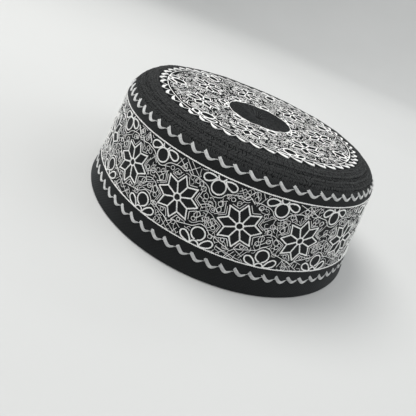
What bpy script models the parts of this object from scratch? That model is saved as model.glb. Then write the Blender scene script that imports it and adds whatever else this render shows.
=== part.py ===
"""Round flat-topped prayer cap: a flared side band and a shouldered crown.

Metres, +Z up. The origin is on the cap's axis, in the plane the rim rests on.
Both pieces are turned shells that share one outer line, described from the
centre of the crown out over the shoulder and down to the rim.
"""

import math

import bpy
from mathutils import Vector

# ---------------------------------------------------------------- dimensions
MM = 0.001
SEGMENTS = 72               # facets around
BAND_THICKNESS = 2.2 * MM   # stiffened side wall
CROWN_THICKNESS = 1.8 * MM  # top cloth
SEAM_GAP = 0.3 * MM         # play between the two pieces
ALLOWANCE_DEPTH = 7.0 * MM  # crown edge tucked in behind the band
ALLOWANCE_THICKNESS = 1.0 * MM
ROLL_LENGTH = 5.0 * MM      # where the crown thickens toward its seam

CROWN_LIFT = 2.4 * MM       # the shoulder stands a little higher on one side
CROWN_LIFT_DIRECTION = math.radians(168.0)
CROWN_LIFT_SPREAD = math.radians(45.0)
DIMPLE_DEPTH = 0.9 * MM     # small hollow at the crown's centre
DIMPLE_RADIUS = 9.0 * MM

# The outer line, centre of the crown to the rim: name, radius, height (mm).
OUTLINE = (
    ("centre",        0.0, 64.0),
    ("disc_edge",    21.2, 64.6),
    ("ring_middle",  40.5, 65.7),
    ("ring_edge",    60.9, 66.5),
    ("shoulder_top", 65.5, 66.4),
    ("shoulder_a",   69.7, 65.6),
    ("shoulder_b",   74.5, 63.2),
    ("seam",         77.6, 60.5),
    ("upper_wave",   79.7, 57.5),
    ("wall_top",     80.6, 54.8),
    ("upper_border", 81.0, 53.2),
    ("wall_middle",  84.3, 34.6),
    ("lower_border", 87.6, 16.0),
    ("band_middle",  89.3,  8.0),
    ("rim",          91.2,  0.0),
)


# ---------------------------------------------------------- the outer line
def outline_lengths():
    """Distance along the outer line of each named row, in metres."""
    lengths = [0.0]
    for (_, r0, z0), (_, r1, z1) in zip(OUTLINE, OUTLINE[1:]):
        lengths.append(lengths[-1] + math.hypot(r1 - r0, z1 - z0) * MM)
    return lengths


LENGTHS = outline_lengths()
ROW = {name: i for i, (name, _, _) in enumerate(OUTLINE)}


def slopes(values):
    """Slopes of a smooth curve through the rows that never overshoots them."""
    steps = [b - a for a, b in zip(LENGTHS, LENGTHS[1:])]
    rises = [(b - a) / h for a, b, h in zip(values, values[1:], steps)]
    out = [rises[0]]
    for i in range(1, len(values) - 1):
        a, b = rises[i - 1], rises[i]
        if a * b <= 0:
            out.append(0.0)
        else:
            wa, wb = 2 * steps[i] + steps[i - 1], steps[i] + 2 * steps[i - 1]
            out.append((wa + wb) / (wa / a + wb / b))
    out.append(rises[-1])
    return out


RADII = [r * MM for _, r, _ in OUTLINE]
HEIGHTS = [z * MM for _, _, z in OUTLINE]
RADIUS_SLOPES = slopes(RADII)
HEIGHT_SLOPES = slopes(HEIGHTS)
HEIGHT_SLOPES[0] = 0.0      # level at the axis


def along(s, values, tangents):
    i = max(k for k in range(len(LENGTHS) - 1) if LENGTHS[k] <= s or k == 0)
    h = LENGTHS[i + 1] - LENGTHS[i]
    t = (s - LENGTHS[i]) / h
    return ((2 * t**3 - 3 * t**2 + 1) * values[i] + (t**3 - 2 * t**2 + t) * h * tangents[i]
            + (3 * t**2 - 2 * t**3) * values[i + 1] + (t**3 - t**2) * h * tangents[i + 1])


def outer(s):
    return Vector((along(s, RADII, RADIUS_SLOPES), along(s, HEIGHTS, HEIGHT_SLOPES)))


def inner(s, depth):
    """The point `depth` inside the outer line at distance s, square to it."""
    e = 0.2 * MM
    a = outer(max(s - e, 0.0))
    b = outer(min(s + e, LENGTHS[-1]))
    d = (b - a).normalized()
    return outer(s) + Vector((d.y, -d.x)) * depth


def spaced(start, end, count):
    return [start + (end - start) * i / (count - 1) for i in range(count)]


# ------------------------------------------------------------ how it is worn in
def settled(p):
    """Small departures from a true turned shape, fading out below the seam."""
    r = math.hypot(p.x, p.y)
    a = math.atan2(p.y, p.x)
    t = min(max((p.z - HEIGHTS[ROW["upper_border"]])
                / (HEIGHTS[ROW["shoulder_top"]] - HEIGHTS[ROW["upper_border"]]), 0.0), 1.0)
    rise = t * t * (3 - 2 * t)
    reach = min(r / RADII[ROW["seam"]], 1.0)
    turn = math.remainder(a - CROWN_LIFT_DIRECTION, 2 * math.pi)
    dz = CROWN_LIFT * rise * reach**1.5 * math.exp(-(turn / CROWN_LIFT_SPREAD) ** 2)
    dz -= DIMPLE_DEPTH * math.exp(-(r / DIMPLE_RADIUS) ** 2)
    return Vector((p.x, p.y, p.z + dz))


# ------------------------------------------------------------------- building
def clear_scene():
    for item in list(bpy.data.objects):
        bpy.data.objects.remove(item, do_unlink=True)


def cloth(name, colour, roughness):
    material = bpy.data.materials.new(name)
    material.use_nodes = True
    shader = material.node_tree.nodes["Principled BSDF"]
    shader.inputs["Base Color"].default_value = (*colour, 1.0)
    shader.inputs["Roughness"].default_value = roughness
    shader.inputs["Metallic"].default_value = 0.0
    return material


def turned(name, section, closed, material, collection):
    """Turn a section of (radius, height) points about Z into one closed shell."""
    mesh = bpy.data.meshes.new(name + "_section")
    edges = [(i, i + 1) for i in range(len(section) - 1)]
    if closed:
        edges.append((len(section) - 1, 0))
    mesh.from_pydata([(p.x, 0.0, p.y) for p in section], edges, [])
    guide = bpy.data.objects.new(name + "_section", mesh)
    collection.objects.link(guide)
    screw = guide.modifiers.new("turn", "SCREW")
    screw.axis = "Z"
    screw.angle = 2 * math.pi
    screw.steps = SEGMENTS
    screw.render_steps = SEGMENTS
    screw.use_merge_vertices = True
    screw.merge_threshold = 0.00005
    bpy.context.view_layer.update()
    graph = bpy.context.evaluated_depsgraph_get()
    shell = bpy.data.meshes.new_from_object(guide.evaluated_get(graph))
    bpy.data.objects.remove(guide, do_unlink=True)
    bpy.data.meshes.remove(mesh)
    for v in shell.vertices:
        v.co = settled(v.co)
    shell.name = name
    shell.materials.clear()
    shell.materials.append(material)
    shell.shade_smooth()
    shell.set_sharp_from_angle(angle=math.radians(40))
    piece = bpy.data.objects.new(name, shell)
    collection.objects.link(piece)
    return piece


def band_section():
    """Flat at the rim, up the outside to the seam, and back down the inside."""
    top = LENGTHS[ROW["seam"]] + SEAM_GAP / 2
    rows = [top] + LENGTHS[ROW["upper_wave"]:]
    outside = [outer(s) for s in rows]
    inside = [inner(s, BAND_THICKNESS) for s in reversed(rows[:-1])]
    foot = inner(LENGTHS[-1], BAND_THICKNESS)
    foot.y = 0.0
    return outside + [foot] + inside


def crown_section():
    """Over the top to the seam, in and down behind the band, and back inside."""
    edge = LENGTHS[ROW["seam"]] - SEAM_GAP / 2
    tuck = BAND_THICKNESS + SEAM_GAP
    full = tuck + ALLOWANCE_THICKNESS
    rows = LENGTHS[:ROW["seam"]]
    over = [outer(s) for s in rows] + [outer(edge)]
    hem = [inner(edge, tuck)]
    hem += [inner(s, tuck) for s in spaced(edge, edge + ALLOWANCE_DEPTH, 4)[1:]]
    hem += [inner(s, full) for s in spaced(edge + ALLOWANCE_DEPTH, edge, 4)]
    under = [inner(s, CROWN_THICKNESS) for s in reversed(rows[1:])
             if s < edge - ROLL_LENGTH]
    centre = outer(0.0) - Vector((0.0, CROWN_THICKNESS))
    return over + hem + under + [centre]


def main():
    clear_scene()
    collection = bpy.data.collections.new("prayer_cap")
    bpy.context.scene.collection.children.link(collection)
    black = cloth("black_cloth", (0.022, 0.024, 0.026), 0.85)
    top = cloth("black_crown_cloth", (0.026, 0.028, 0.030), 0.85)
    turned("side_band", band_section(), True, black, collection)
    turned("crown", crown_section(), False, top, collection)


main()
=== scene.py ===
"""Looks of the prayer cap: cloth shells, embroidery threads, studio and camera.

Everything is laid out on the cap's own surface: a place is an azimuth round the
cap, a distance along the outer line from the crown's centre, and a height above
the cloth. Lengths in the charts below are millimetres on that surface.
"""
import math

import bpy
import numpy as np
from mathutils import Matrix, Vector


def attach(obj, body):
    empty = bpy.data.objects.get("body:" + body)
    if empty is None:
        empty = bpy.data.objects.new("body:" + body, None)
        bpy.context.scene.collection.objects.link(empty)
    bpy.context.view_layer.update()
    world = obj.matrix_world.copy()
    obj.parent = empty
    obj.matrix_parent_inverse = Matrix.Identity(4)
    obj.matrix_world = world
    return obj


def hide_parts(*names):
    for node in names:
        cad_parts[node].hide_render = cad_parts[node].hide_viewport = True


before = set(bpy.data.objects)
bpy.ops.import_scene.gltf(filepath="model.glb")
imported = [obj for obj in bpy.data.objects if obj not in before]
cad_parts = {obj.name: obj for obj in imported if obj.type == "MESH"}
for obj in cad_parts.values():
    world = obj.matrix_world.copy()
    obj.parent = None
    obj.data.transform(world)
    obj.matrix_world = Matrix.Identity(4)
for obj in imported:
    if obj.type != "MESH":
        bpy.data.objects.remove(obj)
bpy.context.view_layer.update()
MM = 0.001

# ------------------------------------------------------------------ outer line
# The same line as the solids: name, radius, height in mm.
OUTLINE = (
    ("centre",        0.0, 64.0),
    ("disc_edge",    21.2, 64.6),
    ("ring_middle",  40.5, 65.7),
    ("ring_edge",    60.9, 66.5),
    ("shoulder_top", 65.5, 66.4),
    ("shoulder_a",   69.7, 65.6),
    ("shoulder_b",   74.5, 63.2),
    ("seam",         77.6, 60.5),
    ("upper_wave",   79.7, 57.5),
    ("wall_top",     80.6, 54.8),
    ("upper_border", 81.0, 53.2),
    ("wall_middle",  84.3, 34.6),
    ("lower_border", 87.6, 16.0),
    ("band_middle",  89.3,  8.0),
    ("rim",          91.2,  0.0),
)
ROW = {name: i for i, (name, _, _) in enumerate(OUTLINE)}
RADII = np.array([r for _, r, _ in OUTLINE])
HEIGHTS = np.array([z for _, _, z in OUTLINE])
LENGTHS = np.concatenate([[0.0], np.cumsum(np.hypot(np.diff(RADII), np.diff(HEIGHTS)))])

BAND_THICKNESS = 2.2
CROWN_THICKNESS = 1.8
SEAM_GAP = 0.3
CROWN_LIFT = 2.4            # the shoulder stands a little higher on one side
CROWN_LIFT_DIRECTION = math.radians(168.0)
CROWN_LIFT_SPREAD = math.radians(45.0)
DIMPLE_DEPTH = 0.9
DIMPLE_RADIUS = 9.0


def off_turn(azimuth, middle):
    """Signed turn from `middle` to azimuth, within half a turn either way."""
    return np.mod(azimuth - middle + math.pi, 2 * math.pi) - math.pi


def slopes(values):
    steps = np.diff(LENGTHS)
    rises = np.diff(values) / steps
    out = [rises[0]]
    for i in range(1, len(values) - 1):
        a, b = rises[i - 1], rises[i]
        if a * b <= 0:
            out.append(0.0)
        else:
            wa, wb = 2 * steps[i] + steps[i - 1], steps[i] + 2 * steps[i - 1]
            out.append((wa + wb) / (wa / a + wb / b))
    out.append(rises[-1])
    return np.array(out)


RADIUS_SLOPES = slopes(RADII)
HEIGHT_SLOPES = slopes(HEIGHTS)
HEIGHT_SLOPES[0] = 0.0


def hermite(s, values, tangents):
    s = np.clip(s, 0.0, LENGTHS[-1])
    i = np.clip(np.searchsorted(LENGTHS, s, side="right") - 1, 0, len(LENGTHS) - 2)
    h = LENGTHS[i + 1] - LENGTHS[i]
    t = (s - LENGTHS[i]) / h
    value = ((2 * t**3 - 3 * t**2 + 1) * values[i] + (t**3 - 2 * t**2 + t) * h * tangents[i]
             + (3 * t**2 - 2 * t**3) * values[i + 1] + (t**3 - t**2) * h * tangents[i + 1])
    slope = ((6 * t**2 - 6 * t) * values[i] / h + (3 * t**2 - 4 * t + 1) * tangents[i]
             + (6 * t - 6 * t**2) * values[i + 1] / h + (3 * t**2 - 2 * t) * tangents[i + 1])
    return value, slope


def on_cap(azimuth, s, height=0.0):
    """Points in mm at azimuth (radians), distance s and height above the cloth."""
    azimuth, s, height = np.broadcast_arrays(
        np.asarray(azimuth, float), np.asarray(s, float), np.asarray(height, float))
    over = np.maximum(s - LENGTHS[-1], 0.0)
    r, dr = hermite(s, RADII, RADIUS_SLOPES)
    z, dz = hermite(s, HEIGHTS, HEIGHT_SLOPES)
    n = np.hypot(dr, dz)
    dr, dz = dr / n, dz / n
    r, z = r + dr * over, z + dz * over
    # settled shape: lift to one side, centre dimple
    t = np.clip((z - HEIGHTS[ROW["upper_border"]])
                / (HEIGHTS[ROW["shoulder_top"]] - HEIGHTS[ROW["upper_border"]]), 0, 1)
    rise = t * t * (3 - 2 * t)
    reach = np.minimum(r / RADII[ROW["seam"]], 1.0)
    turn = off_turn(azimuth, CROWN_LIFT_DIRECTION)
    up = CROWN_LIFT * rise * reach**1.5 * np.exp(-(turn / CROWN_LIFT_SPREAD) ** 2)
    up -= DIMPLE_DEPTH * np.exp(-(r / DIMPLE_RADIUS) ** 2)
    # hand-made unevenness of the stiffened cloth, a tenth of a millimetre or two
    grain = np.minimum(r / 20.0, 1.0) * np.clip(z / 10.0, 0, 1)
    out = height + grain * (0.10 * np.sin(9 * azimuth + 0.11 * s)
                            + 0.08 * np.sin(17 * azimuth - 0.23 * s + 1.0)
                            + 0.06 * np.sin(5 * azimuth + 0.31 * s + 2.0))
    nr, nz = -dz, dr
    rr = r + nr * out
    return np.stack([rr * np.cos(azimuth), rr * np.sin(azimuth), z + up + nz * out], -1)


# ----------------------------------------------------------------- chart places
S_SEAM = LENGTHS[ROW["seam"]]
S_UPPER = LENGTHS[ROW["upper_border"]]
S_LOWER = LENGTHS[ROW["lower_border"]]
S_RIM = LENGTHS[-1]
WALL_RADIUS = 84.3
WALL_DEPTH = S_LOWER - S_UPPER
REPEATS = 16
TILE = 2 * math.pi * WALL_RADIUS / REPEATS      # 33.1 mm across one repeat
STAR_AZIMUTH = math.radians(-83.2)


def wall_place(xy, h):
    """Chart x mm round the wall from a star, y mm down from the upper border."""
    return on_cap(STAR_AZIMUTH + xy[..., 0] / WALL_RADIUS, S_UPPER + xy[..., 1], h)


def drawn_in(azimuth, s):
    """Shift of the crown's embroidery toward the centre, by azimuth.

    These offsets are fitted so that the ring's near and far edges fall where they show
    in the photograph. Whether the ring is really off centre there, or the outline or the
    camera is a little out, can't be told from one view.
    """
    side = np.exp(-(off_turn(azimuth, math.radians(-82.0)) / math.radians(30.0)) ** 2)
    behind = np.exp(-(off_turn(azimuth, math.radians(100.0)) / math.radians(58.0)) ** 2)
    behind = behind * (1.8 * np.clip((s - 38.0) / 20.0, 0, 1) + 2.9 * np.clip((s - 60.4) / 4.5, 0, 1))
    fade = np.clip((78.5 - s) / 12.0, 0, 1)
    aside = 0.6 * np.cos(azimuth) * np.clip((s - 55.0) / 5.0, 0, 1)
    return s - (1.9 * side * np.clip((s - 38.0) / 20.0, 0, 1) + behind + aside) * fade


def crown_place(xy, h):
    """Chart x, y mm on the flat crown, as seen from above with +Y away."""
    r = np.hypot(xy[..., 0], xy[..., 1])
    a = np.arctan2(xy[..., 1], xy[..., 0])
    return on_cap(a, drawn_in(a, r), h)


def ring_place(radius):
    """Chart x mm round the cap at that radius, y = distance along the outer line."""
    def place(xy, h):
        a = xy[..., 0] / radius
        return on_cap(a, drawn_in(a, xy[..., 1]), h)
    return place


# --------------------------------------------------------------- mesh assembly
class Batch:
    """Many small closed threads gathered as one mesh."""

    def __init__(self, place):
        self.place = place
        self.parts = []
        self.count = 0

    def put(self, xy, h, quads, tris, uv):
        """xy (n,2), h (n,) in mm; faces index into them."""
        self.parts.append((xy, h, quads + self.count, tris + self.count, uv))
        self.count += len(xy)

    def thread(self, line, width, height, sides=4, closed=False, base=0.0, start=0.0):
        """A closed tube laid along a chart line, flat side on the cloth."""
        p = np.asarray(line, float)
        n = len(p)
        if n < 2:
            return
        width = np.broadcast_to(np.asarray(width, float), (n,))
        height = np.broadcast_to(np.asarray(height, float), (n,))
        base = np.broadcast_to(np.asarray(base, float), (n,))
        if closed:
            ahead, behind = np.roll(p, -1, 0) - p, p - np.roll(p, 1, 0)
        else:
            ahead = np.vstack([p[1:] - p[:-1], p[-1] - p[-2]])
            behind = np.vstack([p[1] - p[0], p[1:] - p[:-1]])
        a = ahead / np.maximum(np.linalg.norm(ahead, axis=1), 1e-9)[:, None]
        b = behind / np.maximum(np.linalg.norm(behind, axis=1), 1e-9)[:, None]
        t = a + b
        m = np.linalg.norm(t, axis=1)
        t = np.where(m[:, None] > 1e-3, t / np.maximum(m, 1e-9)[:, None], a)
        normal = np.stack([-t[:, 1], t[:, 0]], 1)
        miter = 1.0 / np.clip(np.abs((a * t).sum(1)), 0.5, 1.0)
        section = SECTIONS[sides]
        k = len(section)
        across = section[:, 0][None] * (width / 2 * miter)[:, None]
        xy = p[:, None] + normal[:, None] * across[..., None]
        h = base[:, None] + section[:, 1][None] * height[:, None]
        along = start + np.concatenate([[0], np.cumsum(np.linalg.norm(np.diff(p, axis=0), axis=1))])
        uv = np.stack([np.repeat(along, k), across.ravel()], 1)
        xy, h = xy.reshape(-1, 2), h.ravel()
        rows = n if closed else n - 1
        i = np.arange(rows)[:, None] * k
        j = (np.arange(rows)[:, None] + 1) % n * k
        c = np.arange(k)[None]
        d = (c + 1) % k
        quads = np.stack([i + c, i + d, j + d, j + c], -1).reshape(-1, 4)
        tris = np.zeros((0, 3), int)
        if not closed:
            caps = []
            for side, at, step in ((0, p[0], -1.0), (1, p[-1], 1.0)):
                row = 0 if side == 0 else (n - 1) * k
                tip = at + step * t[0 if side == 0 else -1] * width[0 if side == 0 else -1] * 0.42
                tip_h = base[0 if side == 0 else -1] + 0.25 * height[0 if side == 0 else -1]
                xy = np.vstack([xy, tip])
                h = np.append(h, tip_h)
                uv = np.vstack([uv, [along[0 if side == 0 else -1], 0.0]])
                top = len(h) - 1
                for q in range(k):
                    w = (q + 1) % k
                    caps.append((row + w, row + q, top) if side == 0 else (row + q, row + w, top))
            tris = np.array(caps)
        self.put(xy, h, quads, tris, uv)

    def stitches(self, at, direction, length, width, height, sides=6, base=0.0):
        """Short spindle-shaped stitches, one for each centre in `at`."""
        at = np.asarray(at, float)
        n = len(at)
        if not n:
            return
        direction = np.broadcast_to(direction, (n, 2))
        length, width, height, base = (np.broadcast_to(np.asarray(q, float), (n,))
                                       for q in (length, width, height, base))
        normal = np.stack([-direction[:, 1], direction[:, 0]], 1)
        section = SECTIONS[sides]
        k = len(section)
        cols_a, cols_c, cols_h = [], [], []
        for f, g in ((-0.27, 1.0), (0.27, 1.0)):
            for c, q in section:
                cols_a.append(f)
                cols_c.append(c * g / 2)
                cols_h.append(q * g)
        cols_a += [-0.5, 0.5]
        cols_c += [0.0, 0.0]
        cols_h += [0.12, 0.12]
        along = np.array(cols_a)[None] * length[:, None]
        across = np.array(cols_c)[None] * width[:, None]
        xy = at[:, None] + direction[:, None] * along[..., None] + normal[:, None] * across[..., None]
        h = base[:, None] + np.array(cols_h)[None] * height[:, None]
        m = 2 * k + 2
        quads, tris = [], []
        for q in range(k):
            w = (q + 1) % k
            quads.append((q, w, k + w, k + q))
            tris.append((w, q, 2 * k))
            tris.append((k + q, k + w, 2 * k + 1))
        shift = (np.arange(n) * m)[:, None, None]
        uv = np.stack([along + 3.7 * np.arange(n)[:, None] % 29.0, across], -1)
        self.put(xy.reshape(-1, 2), h.ravel(),
                 (np.array(quads)[None] + shift).reshape(-1, 4),
                 (np.array(tris)[None] + shift).reshape(-1, 3), uv.reshape(-1, 2))

    def rope(self, line, pitch, length, width, height, lean, closed=False, base=0.0, rng=None):
        """Overlapping slanted stitches along a chart line, as in stem stitch."""
        p, t = stepped(line, pitch, closed)
        if rng is not None:
            lean = lean + rng.normal(0, math.radians(3.5), len(p))
            length = length * (1 + rng.normal(0, 0.05, len(p)))
            width = width * (1 + rng.normal(0, 0.06, len(p)))
            height = height * (1 + rng.normal(0, 0.07, len(p)))
            p = p + rng.normal(0, 0.025, p.shape)
        ca, sa = np.cos(lean), np.sin(lean)
        d = np.stack([t[:, 0] * ca - t[:, 1] * sa, t[:, 0] * sa + t[:, 1] * ca], 1)
        self.stitches(p, d, length, width, height, base=base)

    def build(self, name, material):
        xy = np.concatenate([q[0] for q in self.parts])
        h = np.concatenate([q[1] for q in self.parts])
        quads = np.concatenate([q[2] for q in self.parts])
        tris = np.concatenate([q[3] for q in self.parts])
        uv = np.concatenate([q[4] for q in self.parts])
        return make_mesh(name, self.place(xy, h) * MM, quads, tris, uv * MM, material)


def half_round(k):
    """k points of a thread's section: flat underneath, rounded on top."""
    a = np.linspace(math.pi, 0.0, k)
    return np.stack([np.cos(a), np.where(np.sin(a) < 0.01, -0.25, np.sin(a))], 1)


SECTIONS = {4: np.array([(-1.0, -0.3), (-0.5, 0.88), (0.5, 0.88), (1.0, -0.3)]),
            3: np.array([(-1.0, -0.3), (0.0, 1.0), (1.0, -0.3)]),
            5: half_round(5), 6: half_round(6), 7: half_round(7)}


def stepped(line, pitch, closed=False):
    """Points and directions at equal steps along a polyline."""
    p = np.asarray(line, float)
    if closed:
        p = np.vstack([p, p[:1]])
    d = np.linalg.norm(np.diff(p, axis=0), axis=1)
    at = np.concatenate([[0], np.cumsum(d)])
    n = max(int(round(at[-1] / pitch)), 1)
    q = (np.arange(n) + 0.5) * at[-1] / n
    i = np.clip(np.searchsorted(at, q, side="right") - 1, 0, len(d) - 1)
    f = ((q - at[i]) / d[i])[:, None]
    return p[i] * (1 - f) + p[i + 1] * f, (p[i + 1] - p[i]) / d[i][:, None]


def resampled(line, step, closed=False):
    """The same polyline with points every `step` mm, corners kept soft."""
    p = np.asarray(line, float)
    if closed:
        p = np.vstack([p, p[:1]])
    d = np.linalg.norm(np.diff(p, axis=0), axis=1)
    at = np.concatenate([[0], np.cumsum(d)])
    n = max(int(round(at[-1] / step)), 2)
    q = np.linspace(0, at[-1], n + 1)
    if closed:
        q = q[:-1]
    return np.stack([np.interp(q, at, p[:, 0]), np.interp(q, at, p[:, 1])], 1)


def curved(points, step, closed=False):
    """A smooth Catmull-Rom curve through the points, with a point every `step` mm."""
    p = np.asarray(points, float)
    if closed:
        q = np.vstack([p[-1:], p, p[:2]])
    else:
        q = np.vstack([2 * p[0] - p[1], p, 2 * p[-1] - p[-2]])
    t = np.linspace(0, 1, 9)[:-1, None]
    out = []
    for a, b, c, d in zip(q, q[1:], q[2:], q[3:]):
        out.append(0.5 * (2 * b + (c - a) * t + (2 * a - 5 * b + 4 * c - d) * t**2
                          + (3 * b - a - 3 * c + d) * t**3))
    out = np.vstack(out) if closed else np.vstack(out + [p[-1:]])
    return resampled(out, step, closed)


def make_mesh(name, verts, quads, tris, uv, material, corner_uv=None):
    """A mesh object from arrays; its faces are turned to point outward."""
    if corner_uv is None:
        corner_uv = uv[quads], uv[tris]
    quad_uv, tri_uv = corner_uv
    a, b, c, d = (verts[quads[:, i]] for i in range(4))
    volume = (a * np.cross(b, c)).sum() + (a * np.cross(c, d)).sum()
    if len(tris):
        a, b, c = (verts[tris[:, i]] for i in range(3))
        volume += (a * np.cross(b, c)).sum()
    if volume < 0:
        quads, tris = quads[:, ::-1], tris[:, ::-1]
        quad_uv, tri_uv = quad_uv[:, ::-1], tri_uv[:, ::-1]
    mesh = bpy.data.meshes.new(name)
    loops = np.concatenate([quads.ravel(), tris.ravel()]).astype(np.int32)
    sizes = np.concatenate([np.full(len(quads), 4), np.full(len(tris), 3)]).astype(np.int32)
    starts = np.concatenate([[0], np.cumsum(sizes)[:-1]]).astype(np.int32)
    mesh.vertices.add(len(verts))
    mesh.vertices.foreach_set("co", verts.astype(np.float32).ravel())
    mesh.loops.add(len(loops))
    mesh.loops.foreach_set("vertex_index", loops)
    mesh.polygons.add(len(sizes))
    mesh.polygons.foreach_set("loop_start", starts)
    mesh.polygons.foreach_set("use_smooth", np.ones(len(sizes), bool))
    layer = mesh.uv_layers.new(name="Chart")
    corners = np.concatenate([quad_uv.reshape(-1, 2), tri_uv.reshape(-1, 2)])
    layer.data.foreach_set("uv", corners.astype(np.float32).ravel())
    mesh.update(calc_edges=True)
    mesh.validate()
    mesh.materials.append(material)
    piece = bpy.data.objects.new(name, mesh)
    bpy.context.scene.collection.objects.link(piece)
    return piece


# ------------------------------------------------------------------- materials
def node(tree, kind, **values):
    n = tree.nodes.new(kind)
    for key, value in values.items():
        if key in n.inputs:
            n.inputs[key].default_value = value
        else:
            setattr(n, key, value)
    return n


def fresh(name):
    material = bpy.data.materials.new(name)
    material.use_nodes = True
    tree = material.node_tree
    tree.nodes.clear()
    shader = node(tree, "ShaderNodeBsdfPrincipled")
    output = node(tree, "ShaderNodeOutputMaterial")
    tree.links.new(shader.outputs["BSDF"], output.inputs["Surface"])
    return material, tree, shader


def mixed(tree, factor, low, high):
    """A colour ramp from low to high."""
    ramp = node(tree, "ShaderNodeValToRGB")
    ramp.color_ramp.elements[0].color = (*low, 1)
    ramp.color_ramp.elements[1].color = (*high, 1)
    tree.links.new(factor, ramp.inputs["Fac"])
    return ramp


def cloth_material(name, low, high, weave=0.55, turned=45.0, bump=0.35, sheen=0.06, specular=0.25):
    """Close twill: two crossed sets of ridges in mm on the chart, with fuzz over them; its colour is painted lighter on
    the ridges and darker in the hollows.
    """
    material, tree, shader = fresh(name)
    links = tree.links
    uv = node(tree, "ShaderNodeUVMap", uv_map="Chart")
    place = node(tree, "ShaderNodeMapping")
    place.inputs["Rotation"].default_value = (0, 0, math.radians(turned))
    links.new(uv.outputs["UV"], place.inputs["Vector"])
    rib = node(tree, "ShaderNodeTexWave", wave_type="BANDS", bands_direction="X", wave_profile="SIN")
    rib.inputs["Scale"].default_value = 0.314 / (weave * MM) / 2
    rib.inputs["Distortion"].default_value = 1.2
    rib.inputs["Detail"].default_value = 2.0
    rib.inputs["Detail Scale"].default_value = 1.5
    links.new(place.outputs["Vector"], rib.inputs["Vector"])
    cross = node(tree, "ShaderNodeTexWave", wave_type="BANDS", bands_direction="Y", wave_profile="SIN")
    cross.inputs["Scale"].default_value = 0.314 / (weave * MM * 1.3) / 2
    cross.inputs["Distortion"].default_value = 0.8
    links.new(place.outputs["Vector"], cross.inputs["Vector"])
    both = node(tree, "ShaderNodeMath", operation="MULTIPLY")
    links.new(rib.outputs["Fac"], both.inputs[0])
    links.new(cross.outputs["Fac"], both.inputs[1])
    spot = node(tree, "ShaderNodeTexCoord")
    fuzz = node(tree, "ShaderNodeTexNoise", Scale=900.0, Detail=4.0, Roughness=0.7)
    links.new(spot.outputs["Object"], fuzz.inputs["Vector"])
    cloud = node(tree, "ShaderNodeTexNoise", Scale=45.0, Detail=3.0, Roughness=0.6)
    links.new(spot.outputs["Object"], cloud.inputs["Vector"])
    height = node(tree, "ShaderNodeMath", operation="MULTIPLY_ADD")
    links.new(fuzz.outputs["Fac"], height.inputs[0])
    height.inputs[1].default_value = 0.8
    links.new(both.outputs["Value"], height.inputs[2])
    raised = node(tree, "ShaderNodeBump")
    raised.inputs["Strength"].default_value = bump
    raised.inputs["Distance"].default_value = 0.00025
    links.new(height.outputs["Value"], raised.inputs["Height"])
    links.new(raised.outputs["Normal"], shader.inputs["Normal"])
    tone = node(tree, "ShaderNodeMath", operation="MULTIPLY_ADD")
    links.new(cloud.outputs["Fac"], tone.inputs[0])
    tone.inputs[1].default_value = 0.55
    tone.use_clamp = True
    # The colour follows the bump: lighter on the raised ridges and darker in the hollows, a painted highlight and
    # painted shade; the cloud noise adds random tone.
    weave_light_and_shade = node(tree, "ShaderNodeMath", operation="MULTIPLY")
    links.new(height.outputs["Value"], weave_light_and_shade.inputs[0])
    weave_light_and_shade.inputs[1].default_value = 0.35
    links.new(weave_light_and_shade.outputs["Value"], tone.inputs[2])
    ramp = mixed(tree, tone.outputs["Value"], low, high)
    ramp.color_ramp.elements[0].position = 0.2
    ramp.color_ramp.elements[1].position = 0.85
    links.new(ramp.outputs["Color"], shader.inputs["Base Color"])
    rough = node(tree, "ShaderNodeMapRange")
    rough.inputs["To Min"].default_value = 0.78
    rough.inputs["To Max"].default_value = 0.97
    links.new(cloud.outputs["Fac"], rough.inputs["Value"])
    links.new(rough.outputs["Result"], shader.inputs["Roughness"])
    shader.inputs["Specular IOR Level"].default_value = specular
    shader.inputs["Sheen Weight"].default_value = sheen
    shader.inputs["Sheen Roughness"].default_value = 0.45
    shader.inputs["Sheen Tint"].default_value = (0.75, 0.80, 0.85, 1)
    return material


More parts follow.
